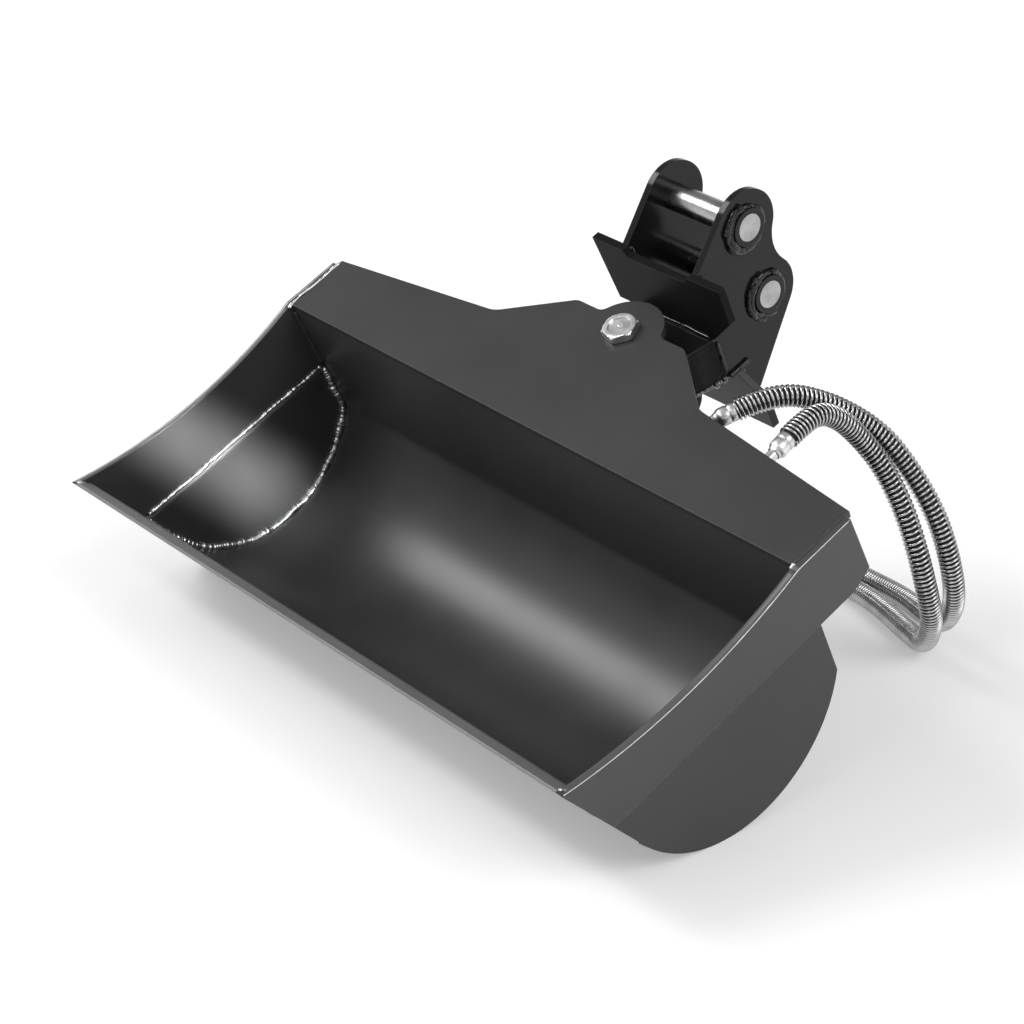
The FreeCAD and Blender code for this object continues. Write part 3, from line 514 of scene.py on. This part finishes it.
# The bucket's sections, in the lid frame's millimetres: the lip, the flat blade, the roll, the fold of
# the end plates, and the side strips that lean out above it

LIP_UP = 319.6
LIP_OUT = 2.6
BLADE = math.radians(67.6)
OUTER_ROLL = 148.6
INNER_ROLL = 142.6
ROLL_ALONG = -123.6
ROLL_OUT = LIP_OUT - ((ROLL_ALONG + LIP_UP) * (-math.sin(BLADE)) + OUTER_ROLL) / (-math.cos(BLADE))
FOLD = -90.0
FLARE = math.atan2(8.0, 90.0)
STRIP_X = 392.0
HOLLOW = 20.8
# where beads lie inside and outside the end plates
INSIDE_X = 382.6
OUTSIDE_X = 384.0


def blade(x, along, out):
    """A point of the flat blade: along it from the lip, and out of its outer face."""
    across = -LIP_UP + math.cos(BLADE) * along - math.sin(BLADE) * out
    rise = LIP_OUT - math.sin(BLADE) * along - math.cos(BLADE) * out
    return lid(x, across, rise)


def roll_path(x, radius, start, end):
    """Part of the roll's section at x: its centre + radius * (cos a up the lid, sin a out of it)."""
    return arc(lid(x, ROLL_ALONG, ROLL_OUT), UP_LID, OUT_OF_LID, radius * 0.001, start, end, 60)


def strip_point(side, inset, up, out):
    """A point of a side strip, leaned out from the fold by the flare."""
    height = out - FOLD
    x = STRIP_X - inset * math.cos(FLARE) + height * math.sin(FLARE)
    return lid(side * x, up, FOLD + inset * math.sin(FLARE) + height * math.cos(FLARE))


def dish(up):
    """The strip's hollow front edge: a parabola through its two ends and its lowest point."""
    share = -up / LIP_UP
    return LIP_OUT * share - 4 * HOLLOW * share * (1 - share)


# Welds, in metres: each bead is a path, a radius and a seed. BEAD_STEP is the spacing of a bead's points,
# RIPPLE that of its ripples, and no bead goes under ABOVE_FLOOR

BEAD_STEP = 0.0008
RIPPLE = 0.0034
ABOVE_FLOOR = 0.0002


def weld_bead(path, width, seed, lump, ripples=0.16):
    """A weld bead: a tube whose radius swells in stacked ripples and whose line wanders a little.

    radius = width * (0.98 - ripples + ripples * |sin| + lump * (slow + quick drift)), less at both ends.
    """
    random = np.random.default_rng(seed)
    line = resample(path, BEAD_STEP)
    count = len(line)
    s = np.arange(count) * BEAD_STEP

    def drift(beyond, spacing, spread):
        """Random values at equal spacing along the bead, joined by straight lines."""
        knots = np.arange(0, s[-1] + beyond, spacing)
        return np.interp(s, knots, random.normal(0, spread, len(knots)))

    slow = drift(0.02, 0.009, 1)
    quick = drift(0.01, 0.0026, 1)
    wander = drift(0.02, 0.015, 0.20 * width)
    ripple = np.abs(np.sin(np.pi * s / RIPPLE))
    radius = width * (0.98 - ripples + ripples * ripple + lump * (0.22 * slow + 1.4 * ripples * quick))
    radius = np.clip(radius, 0.45 * width, 1.5 * width)
    fade = np.minimum(1.0, np.minimum(np.arange(count), np.arange(count)[::-1]) / 3.0 + 0.35)
    side = frames_along(line)[2]
    points, faces = tube_grid(line + side * wander[:, None], radius * fade, 10)
    points[:, 2] = np.maximum(points[:, 2], ABOVE_FLOOR)
    return points, faces


def make_beads(name, beads, material, body, slot, **look):
    """Several beads as one piece."""
    grids = [weld_bead(path, width, seed, **look) for path, width, seed in beads]
    return make_piece(name, *join_grids(grids), material, body, slot)


bright_beads = []
painted_beads = []
for side in (-1, 1):
    # inside the end plate: round its corner with the sheet, and along its fold
    x = side * INSIDE_X
    corner = [blade(x, k, -7.6) for k in (106.0, 130.0, 152.0)]
    corner += list(roll_path(x, INNER_ROLL - 1.6, 204.0, 330.0))
    corner += [lid(x, -1.6, v) for v in (-150.0, -120.0, -92.0)]
    bright_beads.append((corner, 0.0046, 11 + side))
    fold_line = [lid(x + side * 0.8, up, -88.6) for up in (-268.0, -3.0)]
    bright_beads.append((fold_line, 0.0026, 21 + side))
    # the side strip: up its end at the flange, beside the lid, and at both corners of its front edge
    rise = [strip_point(side, 9.2, -1.2, v) for v in (-86.0, -50.0, -10.0)]
    painted_beads.append((rise, 0.0024, 31 + side))
    lid_side = bright_beads if side < 0 else painted_beads
    lid_side.append(([lid(side * 391.2, up, 0.2) for up in (2.0, 76.0)], 0.0020, 41 + side))
    bright_beads.append(([strip_point(side, 8.6, -5.0, -3.0), lid(side * 391.0, 3.0, 0.4)], 0.0026, 51 + side))
    bright_beads.append(([blade(side * 392.4, k, -3.0 - 0.35 * k) for k in (1.0, 13.0)], 0.0026, 61 + side))
    # outside: round the roll and up the flange
    outside = list(roll_path(side * OUTSIDE_X, OUTER_ROLL - 0.4, 202.4, 330.0))
    painted_beads.append((outside, 0.0014, 71 + side))
    painted_beads.append(([lid(side * OUTSIDE_X, 5.8, v) for v in (-150.0, -112.0)], 0.0014, 81 + side))
painted_beads.append(([blade(x, 80.0, -0.4) for x in (-381.0, 381.0)], 0.0014, 91))
painted_beads.append(([lid(x, 6.6, -9.0) for x in (-378.0, 378.0)], 0.0022, 92))
# behind the flange: both sides of the rear pivot plate, and of the base lugs
for v, seed in ((-100.8, 93), (-111.2, 94)):
    painted_beads.append(([lid(x, 7.0, v) for x in (-247.0, 247.0)], 0.0024, seed))
for v, seed in ((-84.2, 95), (-55.8, 96)):
    painted_beads.append(([lid(x, 7.0, v) for x in (280.0, 356.0)], 0.0022, seed))
make_beads("bucket_bright_welds", bright_beads, bare_weld, "bucket", "zinc", lump=0.65)
make_beads("bucket_painted_welds", painted_beads, weld_paint, "bucket", "bucket_paint", lump=0.25)

# The strips' front edges: a bright rim and a thin lighter face, partly wear and partly a painted highlight of
# the lit edge; the face's section is (inset, height) pairs

FACE_SECTION = [(0.5, 0.06), (3.0, 0.06), (5.5, 0.06), (8.2, 0.06), (8.2, -0.6), (0.5, -0.6)]
rims = []
fronts = []
for side in (-1, 1):
    inset = 0.3 if side > 0 else 2.2
    rim = [strip_point(side, inset, up, dish(up) - 0.15) for up in np.linspace(-317.0, 0.0, 60)]
    rim += [strip_point(side, inset, up, -0.15) for up in (20.0, 71.5)]
    rims.append(tube_grid(resample(rim, 0.004), 0.00050, 8))
    corners = len(FACE_SECTION)
    rows = [np.array([strip_point(side, k, up, dish(up) + v) for k, v in FACE_SECTION])
            for up in np.linspace(-314.0, -4.0, 60)]
    caps = [np.repeat(row.mean(0)[None], corners, 0) for row in (rows[0], rows[-1])]
    rows = caps[:1] + rows + caps[1:]
    fronts.append((np.concatenate(rows), grid_faces(len(rows), corners)))
make_piece("strip_rims_worn_and_highlit", *join_grids(rims), rim_metal_worn_and_highlit, "bucket", "edge_paint")
make_piece("strip_fronts_worn_and_highlit", *join_grids(fronts), strip_front_worn_and_highlit, "bucket", "edge_paint")

# The hanger's beads: round the pin bosses (on the right ear in two heavy passes), between ears, wings
# and tongue, and round the hub. EARS holds the two pins' places (up, out) in the lid frame

EARS = ((302.5, 47.0), (299.7, -44.5))
HUB_UP = 151.7
hanger_beads = []
tongue_beads = []
seed = 200
for up, out in EARS:
    for side, radius, width in ((1, 22.6, 0.0034), (-1, 26.4, 0.0032)):
        ring = arc(lid(side * 57.8, up, out), UP_LID, OUT_OF_LID, radius * 0.001, 60, 420, 80)
        hanger_beads.append((ring, width, seed))
        seed += 1
    for radius, width, start, end in ((24.5, 0.0044, 85, 275), (28.2, 0.0036, 105, 245)):
        heavy = arc(lid(58.2, up, out), UP_LID, OUT_OF_LID, radius * 0.001, start, end, 50)
        hanger_beads.append((heavy, width, seed))
        seed += 1
for side in (-1, 1):
    for x in (side * 58.4, side * 47.6):
        hanger_beads.append(([lid(x, 227.6, v) for v in (-34.0, 38.0)], 0.0024, seed))
        hanger_beads.append(([lid(x, 238.2, v) for v in (-139.0, -100.0)], 0.0024, seed + 1))
        seed += 2
    tongue_beads.append(([lid(side * 57.6, 218.0, -97.0), lid(side * 52.9, 201.0, -97.0)], 0.0044, seed))
    tongue_beads.append(([lid(side * 52.9, 201.0, -97.4), lid(side * 38.0, 148.0, -97.4)], 0.0026, seed + 1))
    hanger_beads.append(([lid(side * 57.2, 217.0, -42.6), lid(side * 38.0, 148.0, -42.6)], 0.0012, seed + 1))
    hanger_beads.append(([lid(side * 58.0, 219.0, v) for v in (-92.0, -48.0)], 0.0024, seed + 2))
    hanger_beads.append(([lid(side * 58.6, up, -98.6) for up in (219.0, 250.0)], 0.0034, seed + 3))
    seed += 4
hanger_beads.append(([lid(x, 216.6, -41.0) for x in (-54.0, 54.0)], 0.0026, seed))
hanger_beads.append(([lid(x, 227.2, -99.0) for x in (-54.0, 54.0)], 0.0026, seed + 1))
for v, number in ((-41.4, 1), (-98.6, 2)):
    ring = arc(lid(0, HUB_UP, v), ACROSS, UP_LID, 0.0310, 0, 360, 90)
    hanger_beads.append((ring, 0.0022, seed + 1 + number))
make_beads("hanger_welds", hanger_beads, hanger_weld, "hanger", "hanger_paint", lump=0.90, ripples=0.04)
make_beads("tongue_welds", tongue_beads, tongue_painted_glint, "hanger", "hanger_paint", lump=0.80, ripples=0.10)


# The tilt nut, 36 mm across its flats, with turned corners and a rim round the thread

NUT_PROFILE = [(0.0122, 0.0), (0.0170, 0.0), (0.0190, 0.0008), (0.0208, 0.0020), (0.0208, 0.0078),
               (0.0185, 0.0093), (0.0172, 0.0099), (0.0150, 0.0100), (0.0131, 0.0100), (0.0122, 0.0092),
               (0.0122, 0.0)]
nut = turned_grid(lid(0, HUB_UP, 0), OUT_OF_LID, NUT_PROFILE, 96, flats=0.0360, turn=math.radians(-11.0))
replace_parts(make_piece("tilt_nut", *nut, zinc, "bucket", "zinc", smooth=False), "tilt_pin_nut")


# Floor: matt, with a little light of its own for what sees it straight or mirrored, so that it shows white

FLOOR_REACH = 9.0
FLOOR_LIFT = 0.30
floor_mesh = bpy.data.meshes.new("floor")
floor_corners = [(x * FLOOR_REACH, y * FLOOR_REACH, 0) for x, y in ((-1, -1), (1, -1), (1, 1), (-1, 1))]
floor_mesh.from_pydata(floor_corners, [], [(0, 1, 2, 3)])
floor = bpy.data.objects.new("floor", floor_mesh)
scene.collection.objects.link(floor)
floor_material = bpy.data.materials.new("floor")
floor_material.use_nodes = True
tree = floor_material.node_tree
tree.nodes.remove(tree.nodes["Principled BSDF"])
matt = node(tree, "ShaderNodeBsdfDiffuse", Color=(0.80, 0.80, 0.80, 1))
lift = node(tree, "ShaderNodeEmission", Color=(1, 1, 1, 1))
rays = node(tree, "ShaderNodeLightPath")
seen = node(tree, "ShaderNodeMath", operation="MAXIMUM")
seen_too = node(tree, "ShaderNodeMath", operation="MAXIMUM")
tree.links.new(rays.outputs["Is Camera Ray"], seen.inputs[0])
tree.links.new(rays.outputs["Is Glossy Ray"], seen.inputs[1])
tree.links.new(seen.outputs["Value"], seen_too.inputs[0])
tree.links.new(rays.outputs["Is Transmission Ray"], seen_too.inputs[1])
strength = node(tree, "ShaderNodeMath", operation="MULTIPLY")
strength.inputs[1].default_value = FLOOR_LIFT
tree.links.new(seen_too.outputs["Value"], strength.inputs[0])
tree.links.new(strength.outputs["Value"], lift.inputs["Strength"])
both = node(tree, "ShaderNodeAddShader")
tree.links.new(matt.outputs["BSDF"], both.inputs[0])
tree.links.new(lift.outputs["Emission"], both.inputs[1])
tree.links.new(both.outputs["Shader"], tree.nodes["Material Output"].inputs["Surface"])
floor_mesh.materials.append(floor_material)

# World: white at the horizon and a soft grey overhead

world = bpy.data.worlds.new("studio")
scene.world = world
world.use_nodes = True
tree = world.node_tree
ground = tree.nodes["Background"]
place = node(tree, "ShaderNodeTexCoord")
split = node(tree, "ShaderNodeSeparateXYZ")
tree.links.new(place.outputs["Generated"], split.inputs["Vector"])
height = ramp(tree, split.outputs["Z"], 0.10, 0.42, (1.0, 1.0, 1.0, 1), (0.34, 0.34, 0.34, 1))
tree.links.new(height, ground.inputs["Color"])
ground.inputs["Strength"].default_value = 1.0


# Lamps: two wide suns, a long soft box over the front, and a narrow gridded strip along the bucket's mouth
# that gives the bright band on the left end plate

def lamp(name, kind, energy, direction):
    """A lamp that shines along a direction."""
    data = bpy.data.lights.new(name, kind)
    data.energy = energy
    made = bpy.data.objects.new(name, data)
    scene.collection.objects.link(made)
    direction = np.asarray(direction, float)
    direction /= np.linalg.norm(direction)
    made.rotation_euler = Vector(direction.tolist()).to_track_quat("-Z", "Y").to_euler()
    return made


def soft_box(name, energy, place, target, size_x, size_y, long_side):
    """A rectangular lamp at a place, turned to a target, its first side as near to long_side as it can be."""
    back = np.asarray(place, float) - np.asarray(target, float)
    made = lamp(name, "AREA", energy, -back)
    back /= np.linalg.norm(back)
    first = np.asarray(long_side, float) - back * back.dot(long_side)
    first /= np.linalg.norm(first)
    made.rotation_euler = Matrix(np.stack([first, np.cross(back, first), back], -1).tolist()).to_euler()
    made.location = place
    made.data.shape = "RECTANGLE"
    made.data.size = size_x
    made.data.size_y = size_y
    return made


lamp("key", "SUN", 1.15, (0.85, 0.55, -1.0)).data.angle = math.radians(26.0)
lamp("fill", "SUN", 0.95, (-0.95, -0.20, -1.0)).data.angle = math.radians(36.0)
soft_box("band", 19.0, (-0.60, -1.50, 2.05), (0.0, -0.1, 0.15), 3.0, 0.30, (1.0, 0.0, 0.0))
slot_box = soft_box("slot", 0.31, lid(370.0, -205.0, 153.0), lid(-384.0, -165.0, -95.0), 0.03, 0.23,
                    0.914 * UP_LID + 0.405 * OUT_OF_LID)
slot_box.data.spread = math.radians(9.0)
slot_box.visible_camera = False
